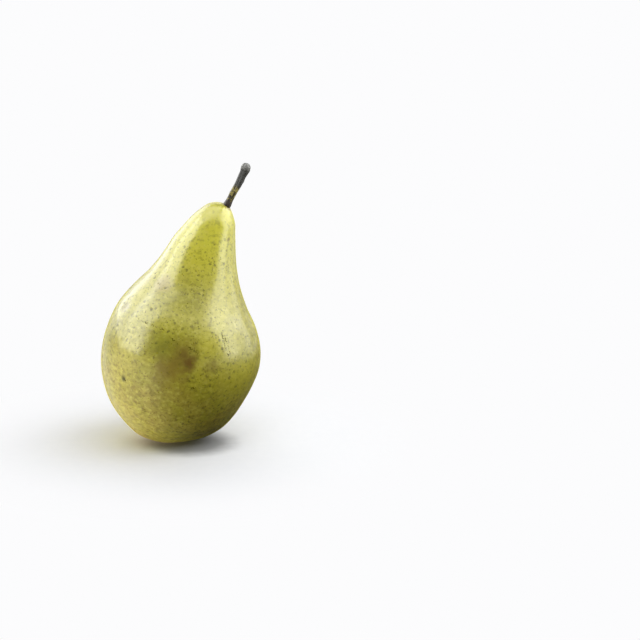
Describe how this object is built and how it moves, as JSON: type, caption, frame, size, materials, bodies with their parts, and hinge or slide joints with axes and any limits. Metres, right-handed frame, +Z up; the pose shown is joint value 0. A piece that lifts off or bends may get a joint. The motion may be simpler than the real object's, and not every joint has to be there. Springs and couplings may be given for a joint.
{
  "type": "pear",
  "caption": "Whole dessert pear with a leaning neck, a woody stem and a withered eye, standing on a small flat spot.",
  "frame": {"origin": "middle of the small flat spot that the pear rests on", "axes": "+Z up; +X the side that the pear leans to and the stem points to; +Y away from the side seen in the picture"},
  "size_m": [0.0688, 0.0674, 0.1211],
  "materials": {
    "skin": "smooth waxy pear skin, yellow-green with olive dots and tan russet",
    "stem": "dry woody stem, olive-brown below and grey at the tip",
    "calyx": "dry dark brown withered sepals"
  },
  "bodies": {
    "root": {"fruit": "skin", "stem": "stem", "calyx": "calyx"}
  },
  "joints": []
}
